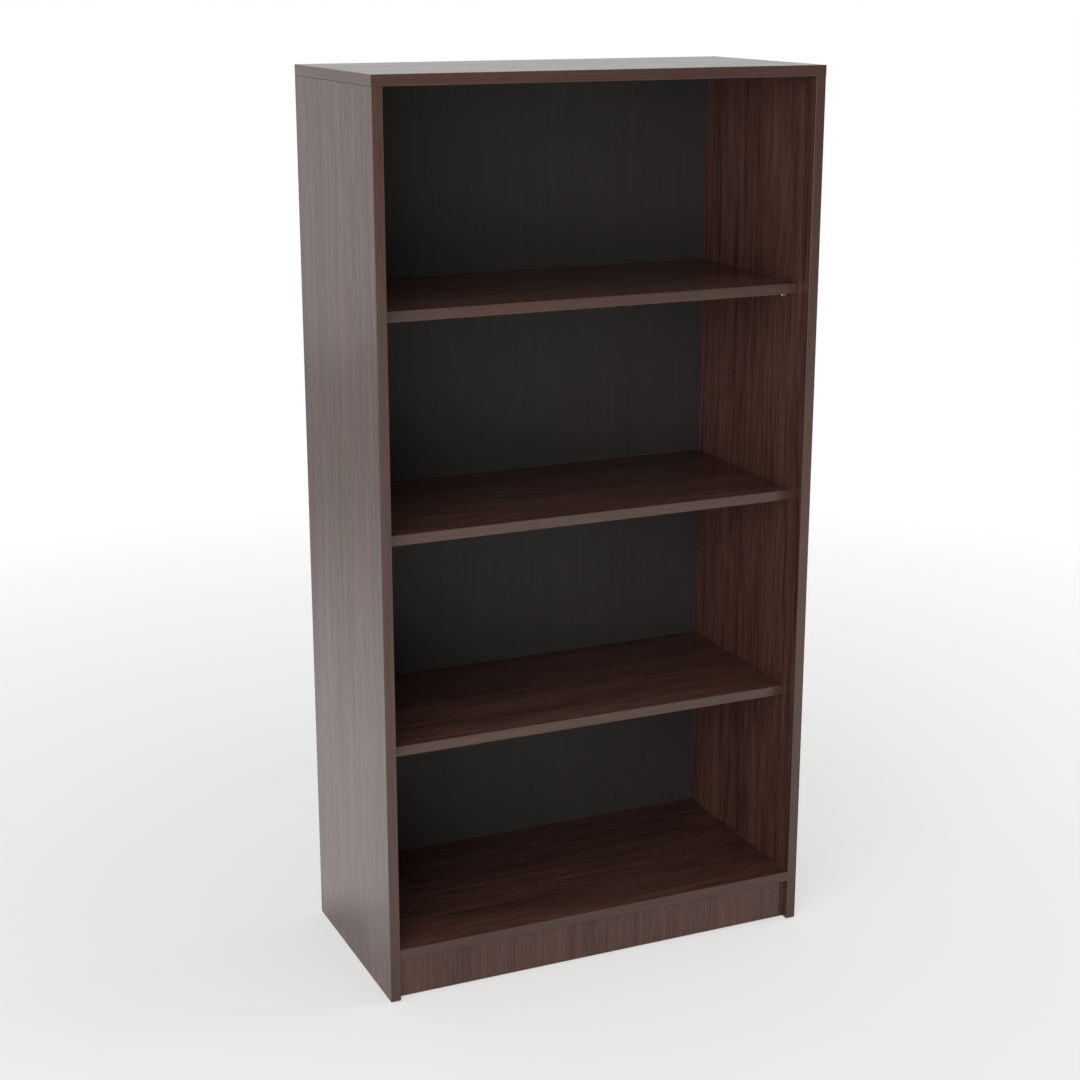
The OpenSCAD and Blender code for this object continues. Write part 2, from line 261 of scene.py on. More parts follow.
def ends(edge):
    """The places of an edge's two ends."""
    return [v.co for v in edge.verts]


def at_plane(axis, place):
    """A test for edges that lie in the plane across an axis at a place."""
    return lambda edge: all(abs(p.dot(axis) - place) < TOUCH for p in ends(edge))


def along_axis(axis):
    """A test for edges that run along an axis."""
    def test(edge):
        start, end = ends(edge)
        return abs((end - start).normalized().dot(axis)) > ALONG
    return test


def facing(axis):
    """A test for faces that look along an axis."""
    return lambda face: face.normal.dot(axis) > FACING


def round_edges(width, segments, test, clamp_overlap=False):
    """In edit mode, round the edges for which the test holds."""
    pick("EDGE", test)
    bpy.ops.mesh.bevel(
        offset=width, segments=segments, profile=0.5, affect="EDGES", clamp_overlap=clamp_overlap)


def add_bar(name, low, high):
    """A bar between two corners, left in edit mode."""
    clear_selection()
    bpy.ops.mesh.primitive_cube_add(size=1, location=(low + high) / 2, scale=high - low)
    bpy.ops.object.transform_apply(location=True, rotation=True, scale=True)
    piece = bpy.context.object
    piece.name = piece.data.name = name
    bpy.ops.object.mode_set(mode="EDIT")
    return piece


def add_round(name, sides, radius, depth, middle, turn=(0.0, 0.0, 0.0)):
    """A round bar about its middle, along Z unless it is turned, left in edit mode."""
    clear_selection()
    bpy.ops.mesh.primitive_cylinder_add(
        vertices=sides, radius=radius, depth=depth, location=middle, rotation=turn)
    bpy.ops.object.transform_apply(location=True, rotation=True, scale=True)
    piece = bpy.context.object
    piece.name = piece.data.name = name
    bpy.ops.object.mode_set(mode="EDIT")
    return piece


def smooth(piece, degrees):
    """Shade the piece smooth up to an angle between its faces, with its large faces kept flat."""
    select_only(piece)
    bpy.ops.object.shade_smooth_by_angle(angle=math.radians(degrees))
    weighted = piece.modifiers.new("normals", "WEIGHTED_NORMAL")
    weighted.keep_sharp = True
    bpy.ops.object.modifier_apply(modifier=weighted.name)


def settle(piece):
    """Leave edit mode and put the object's origin at the world's, with its place in its mesh."""
    select_only(piece)
    bpy.ops.object.transform_apply(location=True, rotation=True, scale=True)


def solids(node, gap=20 * MM):
    """The box of each separate solid in a CAD node, in the order of their places."""
    points = sorted({tuple(round(c, 5) for c in v.co) for v in frame["nodes"][node].data.vertices})
    tree = KDTree(len(points))
    for number, point in enumerate(points):
        tree.insert(point, number)
    tree.balance()
    waiting = set(range(len(points)))
    boxes = []
    while waiting:
        reached = [waiting.pop()]
        group = []
        while reached:
            number = reached.pop()
            group.append(Vector(points[number]))
            for _, near, _ in tree.find_range(points[number], gap):
                if near in waiting:
                    waiting.remove(near)
                    reached.append(near)
        low = Vector([min(p[i] for p in group) for i in range(3)])
        high = Vector([max(p[i] for p in group) for i in range(3)])
        boxes.append((low, high))
    return sorted(boxes, key=lambda box: tuple(box[0]))


def copy_to(piece, name, matrix):
    """A copy with its own mesh, placed by a matrix that is put into the mesh."""
    select_only(piece)
    bpy.ops.object.duplicate()
    made = bpy.context.object
    made.name = made.data.name = name
    made.data.transform(matrix)
    return made


def soften(piece, width, degrees):
    """Round all edges where the faces meet at more than an angle."""
    select_only(piece)
    bevel = piece.modifiers.new("edges", "BEVEL")
    bevel.width = width
    bevel.segments = 2
    bevel.limit_method = "ANGLE"
    bevel.angle_limit = math.radians(degrees)
    bpy.ops.object.modifier_apply(modifier=bevel.name)


def carve(piece, cutter):
    """Take the cutter's shape out of a piece, and delete the cutter."""
    select_only(piece)
    cut = piece.modifiers.new("cut", "BOOLEAN")
    cut.operation = "DIFFERENCE"
    cut.solver = "EXACT"
    cut.object = cutter
    bpy.ops.object.modifier_apply(modifier=cut.name)
    bpy.data.objects.remove(cutter)


def hand_over(piece, material, body, node):
    """Give a piece its material and its body, and let it stand for a CAD node."""
    piece.data.materials.clear()
    piece.data.materials.append(material)
    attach(piece, body)
    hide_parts(node)


# Materials

# Layers of the printed grain: streaks per metre across it and along it, place in the noise, share
GRAIN_LAYERS = (
    (12, 0.9, 0.0, 0.30),
    (70, 3.0, 3.1, 0.32),
    (260, 8, 7.7, 0.38),
)

# Turns that lay the grain upright, from side to side, and from front to back
GRAIN_UP = (0.0, 0.0, 0.0)
GRAIN_ACROSS = (0.0, math.radians(90), 0.0)
GRAIN_DEEP = (math.radians(90), 0.0, 0.0)

# How far the streaks of the grain stray sideways
GRAIN_STRAY = 6 * MM

# The laminate's coat in its glossiest lines, the strength of its reflections, and its relief
LINE_COAT = 0.14
LAMINATE_SPECULAR = 0.48
LAMINATE_RELIEF = 0.03 * MM

# The back panel's lacquer gives way to its raw stuff between these depths behind its face
LACQUER_DEPTHS = (0.3 * MM, 0.6 * MM)


def put(tree, kind, inputs=None, **fields):
    """Add a node, set its fields, and set or link its inputs."""
    made = tree.nodes.new(kind)
    for field, value in fields.items():
        setattr(made, field, value)
    for socket, value in (inputs or {}).items():
        if isinstance(value, bpy.types.NodeSocket):
            tree.links.new(value, made.inputs[socket])
        else:
            made.inputs[socket].default_value = value
    return made


def math_node(tree, operation, first, second=0.0, clamp=False):
    """The result of one sum."""
    made = put(tree, "ShaderNodeMath", {0: first, 1: second}, operation=operation, use_clamp=clamp)
    return made.outputs[0]


def vector_node(tree, operation, first, second=(0.0, 0.0, 0.0)):
    """The result of one sum of vectors."""
    made = put(tree, "ShaderNodeVectorMath", {0: first, 1: second}, operation=operation)
    return made.outputs["Value" if operation in ("LENGTH", "DISTANCE") else "Vector"]


def mix_colour(tree, amount, first, second, blend="MIX"):
    """A colour between two others."""
    return put(
        tree, "ShaderNodeMix", {"Factor": amount, 6: first, 7: second},
        data_type="RGBA", blend_type=blend,
    ).outputs[2]


def stretched_noise(tree, vector, across, along, detail=3.0, rough=0.5, offset=0.0):
    """Noise in streaks along Z: so many per metre across the grain and along it."""
    place = (offset, 0.7 * offset, 0.3 * offset)
    scaled = put(
        tree, "ShaderNodeMapping",
        {"Vector": vector, "Location": place, "Scale": (across, across, along)},
    ).outputs[0]
    return put(
        tree, "ShaderNodeTexNoise",
        {"Vector": scaled, "Scale": 1.0, "Detail": detail, "Roughness": rough},
    ).outputs["Fac"]


def wander(tree, vector, reach):
    """The vector moved sideways by up to a reach, so that streaks along Z aren't ruled lines."""
    slow = put(
        tree, "ShaderNodeMapping", {"Vector": vector, "Scale": (5.0, 5.0, 2.2)},
    ).outputs[0]
    noise = put(
        tree, "ShaderNodeTexNoise", {"Vector": slow, "Scale": 1.0, "Detail": 2.0},
    ).outputs["Color"]
    centred = vector_node(tree, "SUBTRACT", noise, (0.5, 0.5, 0.5))
    # The noise seldom leaves the middle half of its range, so it is stretched to fill the reach
    shift = vector_node(tree, "MULTIPLY", centred, (4 * reach, 4 * reach, 0.0))
    return vector_node(tree, "ADD", vector, shift)


def remap(tree, value, low, high, new_low=0.0, new_high=1.0):
    """A value carried from one range to another, and kept inside it."""
    return put(
        tree, "ShaderNodeMapRange",
        {"Value": value, "From Min": low, "From Max": high, "To Min": new_low, "To Max": new_high},
        clamp=True,
    ).outputs[0]


def new_group(name, inputs, outputs):
    """A shader node group with named sockets: (kind, name, default) and (kind, name)."""
    tree = bpy.data.node_groups.new(name, "ShaderNodeTree")
    for kind, label, default in inputs:
        socket = tree.interface.new_socket(label, in_out="INPUT", socket_type="NodeSocket" + kind)
        socket.default_value = default
    for kind, label in outputs:
        tree.interface.new_socket(label, in_out="OUTPUT", socket_type="NodeSocket" + kind)
    return tree, tree.nodes.new("NodeGroupInput").outputs, tree.nodes.new("NodeGroupOutput")


def group_in(tree, name, inputs):
    """Place a node group in a material."""
    return put(tree, "ShaderNodeGroup", inputs, node_tree=bpy.data.node_groups[name]).outputs


def build_wood_print():
    """Printed wood grain along Z: broad bands, long fine streaks, short dark pores and glossy lines."""
    tree, given, out = new_group(
        "wood_print",
        [
            ("Vector", "Vector", (0.0, 0.0, 0.0)),
            ("Color", "Light", (0.5, 0.5, 0.5, 1.0)),
            ("Color", "Dark", (0.2, 0.2, 0.2, 1.0)),
            ("Float", "Streaks", 1.0),
            ("Float", "Pores", 0.5),
        ],
        [("Color", "Color"), ("Float", "Height"), ("Float", "Lines")],
    )
    vector = wander(tree, given["Vector"], GRAIN_STRAY)
    grain = 0.0
    for across, along, offset, share in GRAIN_LAYERS:
        streaks = stretched_noise(tree, vector, across, along, rough=0.6, offset=offset)
        layer = remap(tree, streaks, 0.3, 0.7)
        grain = math_node(tree, "ADD", grain, math_node(tree, "MULTIPLY", layer, share))
    specks = stretched_noise(tree, vector, across=900, along=60, detail=2.0, offset=1.9)
    pores = math_node(tree, "MULTIPLY", remap(tree, specks, 0.56, 0.66), given["Pores"])
    centred = math_node(tree, "MULTIPLY", math_node(tree, "SUBTRACT", grain, 0.5), given["Streaks"])
    amount = math_node(tree, "ADD", centred, 0.5, clamp=True)
    streaked = mix_colour(tree, amount, given["Dark"], given["Light"])
    tree.links.new(mix_colour(tree, pores, streaked, given["Dark"]), out.inputs["Color"])
    # The last and finest layer stands up a little, and the pores are sunk
    height = math_node(tree, "SUBTRACT", math_node(tree, "MULTIPLY", layer, 0.3), pores)
    tree.links.new(height, out.inputs["Height"])
    lines = stretched_noise(tree, vector, across=70, along=1.5, detail=4.0, rough=0.85, offset=5.3)
    tree.links.new(remap(tree, lines, 0.48, 0.58), out.inputs["Lines"])


def build_handled():
    """Roughness that varies as on a wiped and handled surface."""
    tree, given, out = new_group(
        "handled",
        [
            ("Vector", "Vector", (0.0, 0.0, 0.0)),
            ("Float", "Roughness", 0.3),
            ("Float", "Spread", 0.06),
            ("Float", "Patch Scale", 6.0),
        ],
        [("Float", "Roughness")],
    )
    patches = put(
        tree, "ShaderNodeTexNoise",
        {"Vector": given["Vector"], "Scale": given["Patch Scale"], "Detail": 4.0, "Roughness": 0.6},
    ).outputs["Fac"]
    swing = math_node(tree, "MULTIPLY", math_node(tree, "SUBTRACT", patches, 0.5), given["Spread"])
    tree.links.new(math_node(tree, "ADD", given["Roughness"], swing, clamp=True), out.inputs["Roughness"])


def build_cast_grain():
    """Fine even grain of cast, moulded or brushed parts, as a value and a height."""
    tree, given, out = new_group(
        "cast_grain",
        [
            ("Vector", "Vector", (0.0, 0.0, 0.0)),
            ("Color", "Color", (0.5, 0.5, 0.5, 1.0)),
            ("Float", "Grain Scale", 900.0),
            ("Float", "Amount", 0.1),
        ],
        [("Color", "Color"), ("Float", "Height")],
    )
    fine = put(
        tree, "ShaderNodeTexNoise",
        {"Vector": given["Vector"], "Scale": given["Grain Scale"], "Detail": 3.0, "Roughness": 0.6},
    ).outputs["Fac"]
    swing = math_node(tree, "MULTIPLY", math_node(tree, "SUBTRACT", fine, 0.5), given["Amount"])
    shade = math_node(tree, "ADD", 1.0, swing)
    grey = put(tree, "ShaderNodeCombineColor", {0: shade, 1: shade, 2: shade}).outputs[0]
    tree.links.new(mix_colour(tree, 1.0, given["Color"], grey, "MULTIPLY"), out.inputs["Color"])
    tree.links.new(fine, out.inputs["Height"])


def new_material(name):
    """A material with an empty Principled BSDF, and its Object coordinates."""
    made = bpy.data.materials.new(name)
    made.use_nodes = True
    tree = made.node_tree
    shader = next(n for n in tree.nodes if n.type == "BSDF_PRINCIPLED")
    place = put(tree, "ShaderNodeTexCoord").outputs["Object"]
    return made, tree, shader, place


def bump(tree, shader, height, distance, strength=0.5):
    """Let a height raise the surface."""
    made = put(tree, "ShaderNodeBump", {"Strength": strength, "Distance": distance, "Height": height})
    tree.links.new(made.outputs[0], shader.inputs["Normal"])


def opaque(rgb):
    """A colour with the fourth value that a colour socket takes."""
    return (*rgb, 1.0)


def darkened(rgb, share):
    """A colour with only a share of its brightness."""
    return tuple(share * part for part in rgb)


def wood_material(name, light, dark, gloss, turn, streaks, pores=0.5, seed=0.0):
    """Printed laminate, or wood, with its grain along Z or turned to lie along another axis."""
    made, tree, shader, place = new_material(name)
    turned = put(
        tree, "ShaderNodeMapping",
        {"Vector": place, "Location": (seed, seed, 0.0), "Rotation": turn},
    ).outputs[0]
    grain = group_in(tree, "wood_print", {
        "Vector": turned, "Light": opaque(light), "Dark": opaque(dark),
        "Streaks": streaks, "Pores": pores,
    })
    film = group_in(tree, "handled", {"Vector": place, "Roughness": gloss, "Spread": 0.08})
    tree.links.new(grain["Color"], shader.inputs["Base Color"])
    tree.links.new(film["Roughness"], shader.inputs["Roughness"])
    coat = math_node(tree, "MULTIPLY", grain["Lines"], LINE_COAT)
    tree.links.new(coat, shader.inputs["Coat Weight"])
    shader.inputs["Coat Roughness"].default_value = gloss
    shader.inputs["Specular IOR Level"].default_value = LAMINATE_SPECULAR
    bump(tree, shader, grain["Height"], LAMINATE_RELIEF)
    return made


def plain_material(name, base, gloss, metallic=0.0, grain_scale=900.0, amount=0.12):
    """Metal or moulded plastic with a fine grain."""
    made, tree, shader, place = new_material(name)
    grain = group_in(
        tree, "cast_grain",
        {"Vector": place, "Color": opaque(base), "Grain Scale": grain_scale, "Amount": amount},
    )
    film = group_in(
        tree, "handled",
        {"Vector": place, "Roughness": gloss, "Spread": 0.1, "Patch Scale": 120.0},
    )
    tree.links.new(grain["Color"], shader.inputs["Base Color"])
    tree.links.new(film["Roughness"], shader.inputs["Roughness"])
    shader.inputs["Metallic"].default_value = metallic
    bump(tree, shader, grain["Height"], 0.02 * MM)
    return made


def back_material(finish):
    """Hardboard: a lacquered front face, and a raw rear face and edges."""
    made, tree, shader, place = new_material("back_board")
    face = group_in(tree, "wood_print", {
        "Vector": place, "Light": opaque(finish.back_light), "Dark": opaque(finish.back_dark),
        "Streaks": 0.6, "Pores": 0.3,
    })
    clouds = put(
        tree, "ShaderNodeTexNoise", {"Vector": place, "Scale": 11.0, "Detail": 5.0, "Roughness": 0.65},
    ).outputs["Fac"]
    pressed = mix_colour(
        tree, remap(tree, clouds, 0.35, 0.65),
        opaque(darkened(finish.back_raw, 0.78)), opaque(finish.back_raw))
    raw = group_in(
        tree, "cast_grain", {"Vector": place, "Color": pressed, "Grain Scale": 190.0, "Amount": 0.9})
    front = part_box("back_panel")[0].y
    depth = put(tree, "ShaderNodeSeparateXYZ", {0: place}).outputs["Y"]
    rear = remap(tree, depth, *(front + behind for behind in LACQUER_DEPTHS))
    tree.links.new(mix_colour(tree, rear, face["Color"], raw["Color"]), shader.inputs["Base Color"])
    film = group_in(tree, "handled", {"Vector": place, "Roughness": 0.5, "Spread": 0.08})
    rougher = math_node(tree, "MULTIPLY", rear, 0.3)
    rough = math_node(tree, "ADD", film["Roughness"], rougher, clamp=True)
    tree.links.new(rough, shader.inputs["Roughness"])
    shader.inputs["Specular IOR Level"].default_value = 0.2
    bump(tree, shader, raw["Height"], 0.04 * MM, strength=0.3)
    return made


def dress(nodes, material):
    """Give CAD nodes a material."""
    for name in nodes:
        node = frame["nodes"][name]
        if not node.material_slots:
            node.data.materials.append(material)
        for place in node.material_slots:
            place.material = material


class SHELVING_OT_node_groups(bpy.types.Operator):
    """Build the shader node groups that the materials share"""
    bl_idname = "shelving.node_groups"
    bl_label = "Shared node groups"

    def execute(self, context):
        build_wood_print()
        build_handled()
        build_cast_grain()
        return {"FINISHED"}


class SHELVING_OT_boards(bpy.types.Operator):
    """Finish the sides, the level boards and the plinth with printed laminate"""
    bl_idname = "shelving.boards"
    bl_label = "Boards"

    def execute(self, context):
        finish = context.scene.shelving_finish
        for number, name in enumerate(SIDES):
            self.laminate(finish, name, GRAIN_UP, streaks=1.8, seed=2.3 * number)
        for number, name in enumerate(LEVEL_BOARDS):
            self.laminate(finish, name, GRAIN_ACROSS, streaks=1.5, seed=1.7 * number)
        self.laminate(finish, "plinth_board", GRAIN_UP, streaks=1.25, seed=5.9)
        return {"FINISHED"}

    def laminate(self, finish, board, turn, streaks, seed):
        """Give a board its own laminate, so that no two boards show the same piece of the print."""
        material = wood_material(
            f"laminate_{board}", finish.laminate_light, finish.laminate_dark, finish.laminate_gloss,
            turn, streaks, seed=seed)
        dress([board], material)


class SHELVING_OT_back_panel(bpy.types.Operator):
    """Finish the back panel as lacquered hardboard"""
    bl_idname = "shelving.back_panel"
    bl_label = "Back panel"

    def execute(self, context):
        dress(["back_panel"], back_material(context.scene.shelving_finish))
        return {"FINISHED"}


class SHELVING_OT_edge_bands(bpy.types.Operator):
    """Model the plastic bands on the boards' edges"""
    bl_idname = "shelving.edge_bands"
    bl_label = "Edge bands"

    def execute(self, context):
        finish, trim = context.scene.shelving_finish, context.scene.shelving_trim
        upright = self.plastic(finish, "upright", GRAIN_UP, 0.4)
        level = self.plastic(finish, "level", GRAIN_ACROSS, 1.4)
        deep = self.plastic(finish, "deep", GRAIN_DEEP, 2.4)
        bands = [(f"{side}_edge_band", -Y, Z, upright) for side in SIDES]
        bands += [("top_front_edge_band", -Y, X, level)]
        bands += [("top_left_edge_band", -X, Y, deep)]
        bands += [("top_right_edge_band", X, Y, deep)]
        bands += [(f"{board}_edge_band", -Y, X, level) for board in LEVEL_BOARDS if board != "top_board"]
        for node, outward, along, material in bands:
            self.band(node, outward, along, material, trim)
        return {"FINISHED"}

    def plastic(self, finish, name, turn, seed):
        """The bands' printed plastic, with its grain laid one way."""
        return wood_material(
            f"edge_band_{name}", finish.band_light, finish.band_dark, finish.band_gloss,
            turn, streaks=0.7, pores=0.3, seed=seed)

    def band(self, node, outward, along, material, trim):
        """One band: its long outer arrises are rounded, and then its outer ends are eased."""
        low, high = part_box(node)
        piece = add_bar("band_" + node.replace("_edge_band", ""), low, high)
        glued, face = sorted((low.dot(outward), high.dot(outward)))
        outer = at_plane(outward, face)
        lengthwise = along_axis(along)
        round_edges(trim.band_round, 4, lambda edge: outer(edge) and lengthwise(edge))
        tips = [at_plane(along, corner.dot(along)) for corner in (low, high)]
        round_edges(
            trim.band_ease, 2,
            lambda edge: any(tip(edge) for tip in tips)
            and all(p.dot(outward) > glued + TOUCH for p in ends(edge)),
            clamp_overlap=True)
        settle(piece)
        smooth(piece, 35)
        hand_over(piece, material, frame["nodes"][node]["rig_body"], node)


class SHELVING_OT_joint_fittings(bpy.types.Operator):
    """Finish the cam locks, cam bolts and dowels inside the joints"""
    bl_idname = "shelving.joint_fittings"
    bl_label = "Joint fittings"

    def execute(self, context):
        finish = context.scene.shelving_finish
        zinc = plain_material(
            "zinc", finish.zinc, gloss=0.42, metallic=1.0, grain_scale=700.0, amount=0.25)
        steel = plain_material("steel", finish.steel, gloss=0.3, metallic=1.0)
        level = self.beech(finish, "dowel_wood", GRAIN_ACROSS)
        upright = self.beech(finish, "dowel_wood_upright", GRAIN_UP)
        joints = ("top", "bottom", "middle", "plinth")
        dress([f"{joint}_cam_locks" for joint in joints], zinc)
        dress([f"{joint}_cam_bolts" for joint in joints], steel)
        dress(["bottom_dowels", "middle_dowels", "plinth_end_dowels"], level)
        dress(["top_dowels", "plinth_top_dowels"], upright)
        return {"FINISHED"}

    def beech(self, finish, name, turn):
        """The dowels' wood, with its grain laid one way."""
        return wood_material(
            name, finish.dowel, darkened(finish.dowel, 0.7), gloss=0.6, turn=turn, streaks=1.2)


class SHELVING_OT_cam_caps(bpy.types.Operator):
    """Model the plastic caps over the cam locks that can be seen"""
    bl_idname = "shelving.cam_caps"
    bl_label = "Cam caps"

    # Shares of a cap's height that its wall, the two slopes of its rim and its crown rise by
    RISES = (0.5, 0.25, 0.13, 0.12)
    # How far the crown's slope reaches in from the rim, as a share of the radius
    CROWN_SLOPE = 0.4

    def execute(self, context):
        finish, trim = context.scene.shelving_finish, context.scene.shelving_trim
        plastic = plain_material("cap_plastic", finish.cap, gloss=0.4, grain_scale=1400.0, amount=0.15)
        first = self.cap(trim, solids("middle_cam_caps")[0])
        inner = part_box("left_side")[1].x
        for node in ("top_cam_caps", "middle_cam_caps"):
            for number, (low, high) in enumerate(solids(node), 1):
                middle = (low + high) / 2
                if node == "middle_cam_caps":
                    # Under the middle shelf, crowned downwards
                    place = Vector((middle.x, middle.y, low.z + trim.cap_height))
                    turn = Matrix.Rotation(math.pi, 4, "X")
                else:
                    # On the inner face of a side, crowned towards the middle of the case
                    side = -1 if middle.x < 0 else 1
                    place = Vector((side * -inner, middle.y, middle.z))
                    turn = Matrix.Rotation(-side * math.pi / 2, 4, "Y")
                made = copy_to(first, f"{node[:-1]}_{number}", Matrix.Translation(place) @ turn)
                hand_over(made, plastic, "case", node)
        bpy.data.objects.remove(first)
        return {"FINISHED"}

    def cap(self, trim, box):
        """A cap on the plane z = 0, crowned towards Z."""
        low, high = box
        radius = (high.x - low.x) / 2
        wall, lower_slope, upper_slope, crown = (share * trim.cap_height for share in self.RISES)
        piece = add_round("cap", 48, radius, wall, wall / 2 * Z)
        pick("FACE", facing(Z))
        bpy.ops.mesh.inset(thickness=trim.cap_rim / 2, depth=lower_slope)
        bpy.ops.mesh.inset(thickness=trim.cap_rim / 2, depth=upper_slope)
        bpy.ops.mesh.inset(thickness=self.CROWN_SLOPE * radius, depth=crown)
        bpy.ops.mesh.poke()
        settle(piece)
        smooth(piece, 40)
        return piece


class SHELVING_OT_shelf_pins(bpy.types.Operator):
    """Model the nickel plated pins under the two loose shelves"""
    bl_idname = "shelving.shelf_pins"
    bl_label = "Shelf pins"

    # The chamfer at the pin's tip, as a share of its diameter
    TIP_CHAMFER = 0.15
    # The rounding of the remaining sharp edges
    EDGE_ROUND = 0.25 * MM

    def execute(self, context):
        finish, trim = context.scene.shelving_finish, context.scene.shelving_trim
        nickel = plain_material(
            "nickel", finish.nickel, gloss=0.22, metallic=1.0, grain_scale=1500.0, amount=0.08)
        first = self.pin(trim, solids("upper_shelf_pins")[0])
        for node in ("lower_shelf_pins", "upper_shelf_pins"):
            for number, (low, high) in enumerate(solids(node), 1):
                left = low.x + high.x < 0
                place = Vector((
                    low.x + trim.pin_grip if left else high.x - trim.pin_grip,
                    (low.y + high.y) / 2, high.z))
                turn = Matrix.Rotation(0.0 if left else math.pi, 4, "Z")
                made = copy_to(first, f"{node[:-1]}_{number}", Matrix.Translation(place) @ turn)
                hand_over(made, nickel, "case", node)
        bpy.data.objects.remove(first)
        return {"FINISHED"}

    def pin(self, trim, box):
        """A pin with its plate on the plane x = 0 and the top of its ledge at z = 0."""
        low, high = box
        half = (high.y - low.y) / 2
        drop = high.z - low.z
        reach = high.x - low.x - trim.pin_grip
        thick = trim.ledge
        # The plate, and the ledge that stands out from its upper part
        piece = add_bar("pin", Vector((0.0, -half, -drop)), Vector((thick, half, 0.0)))
        bpy.ops.mesh.select_all(action="SELECT")
        bpy.ops.mesh.bisect(plane_co=-thick * Z, plane_no=Z)
        front = facing(X)
        pick("FACE", lambda face: front(face) and face.calc_center_median().z > -thick)
        bpy.ops.mesh.extrude_region_move(TRANSFORM_OT_translate={"value": (reach - thick) * X})
        tip, upright = at_plane(X, reach), along_axis(Z)
        foot, across = at_plane(Z, -drop), along_axis(X)
        under, plate = at_plane(Z, -thick), at_plane(X, thick)
        round_edges(trim.ledge_round, 5, lambda edge: upright(edge) and tip(edge))
        round_edges(trim.plate_round, 4, lambda edge: foot(edge) and across(edge))
        round_edges(thick / 2, 3, lambda edge: under(edge) and plate(edge))
        # The web under the ledge: a bar whose lower front edge is drawn back to the plate
        bpy.ops.mesh.select_all(action="DESELECT")
        inner = Vector((thick / 2, -thick / 2, thick / 2 - drop))
        outer = Vector((reach - thick / 2, thick / 2, -thick / 2))
        bpy.ops.mesh.primitive_cube_add(size=1, scale=outer - inner, location=(inner + outer) / 2)
        pick("VERT", lambda vert: abs(vert.co.x - outer.x) < TOUCH and abs(vert.co.z - inner.z) < TOUCH)
        bpy.ops.transform.translate(value=(thick - outer.x) * X)
        # The pin itself, with a chamfered tip
        bpy.ops.mesh.select_all(action="DESELECT")
        bpy.ops.mesh.primitive_cylinder_add(
            vertices=32, radius=trim.pin / 2, depth=trim.pin_grip + thick / 2,
            location=(thick / 4 - trim.pin_grip / 2, 0.0, -drop / 2), rotation=(0.0, math.pi / 2, 0.0))
        round_edges(self.TIP_CHAMFER * trim.pin, 2, at_plane(X, -trim.pin_grip))
        settle(piece)
        soften(piece, self.EDGE_ROUND, 40)
        smooth(piece, 40)
        return piece


class SHELVING_OT_back_screws(bpy.types.Operator):
    """Model the pan head screws of the back panel"""
    bl_idname = "shelving.back_screws"
    bl_label = "Back panel screws"

    # Degrees from one screw to the next, because no two are driven to the same angle
    TURN = 37
    # Shares of the head's height: its rounding, the floor of its cross, and the cutter's top
    HEAD_ROUND = 0.6
    CROSS_FLOOR = 0.45
    CUTTER_TOP = 1.2
    # What is left of the cross's width and length at its floor, and of the shank at its point
    CROSS_TAPER = (0.5, 0.45)
    POINT_TAPER = 0.15

    def execute(self, context):
        finish, trim = context.scene.shelving_finish, context.scene.shelving_trim
        steel = plain_material(
            "steel_screws", finish.steel, gloss=0.28, metallic=1.0, grain_scale=1500.0, amount=0.08)
        boxes = solids("back_panel_screws")
        first = self.screw(trim, boxes[0])
        for number, (low, high) in enumerate(boxes, 1):
            middle = (low + high) / 2
            place = Vector((middle.x, high.y - trim.screw_head, middle.z))
            turn = Matrix.Rotation(math.radians(self.TURN * number % 90), 4, "Y")
            made = copy_to(first, f"back_panel_screw_{number}", Matrix.Translation(place) @ turn)
            hand_over(made, steel, "case", "back_panel_screws")
        bpy.data.objects.remove(first)
        return {"FINISHED"}

    def screw(self, trim, box):
        """A screw along Y with its head on the plane y = 0 and a cross for the driver."""
        low, high = box
        head = trim.screw_head
        shank = high.y - low.y - head - trim.screw_point
        piece = self.turned("screw", 32, (high.x - low.x) / 2, head, head / 2)
        round_edges(self.HEAD_ROUND * head, 4, at_plane(Y, head))
        settle(piece)
        corner = Vector((trim.cross_width / 2, 0.0, trim.cross_length / 2))
        for turn in (0, 90):
            cutter = add_bar(
                "cutter", self.CROSS_FLOOR * head * Y - corner, self.CUTTER_TOP * head * Y + corner)
            pick("FACE", facing(-Y))
            bpy.ops.transform.resize(value=(self.CROSS_TAPER[0], 1.0, self.CROSS_TAPER[1]))
            bpy.ops.mesh.select_all(action="SELECT")
            bpy.ops.transform.rotate(
                value=math.radians(turn), orient_axis="Y", center_override=(0.0, 0.0, 0.0))
            settle(cutter)
            carve(piece, cutter)
        body = self.turned("shank", 16, trim.screw_shank / 2, shank, -shank / 2)
        pick("FACE", facing(-Y))
        bpy.ops.mesh.extrude_region_move(TRANSFORM_OT_translate={"value": -trim.screw_point * Y})
        bpy.ops.transform.resize(value=(self.POINT_TAPER, 1.0, self.POINT_TAPER))
        settle(body)
        piece.select_set(True)
        bpy.context.view_layer.objects.active = piece
        bpy.ops.object.join()
        smooth(piece, 40)
        return piece

    def turned(self, name, sides, radius, depth, middle):
        """A round bar along Y about a middle, left in edit mode."""
        return add_round(name, sides, radius, depth, middle * Y, (math.pi / 2, 0.0, 0.0))


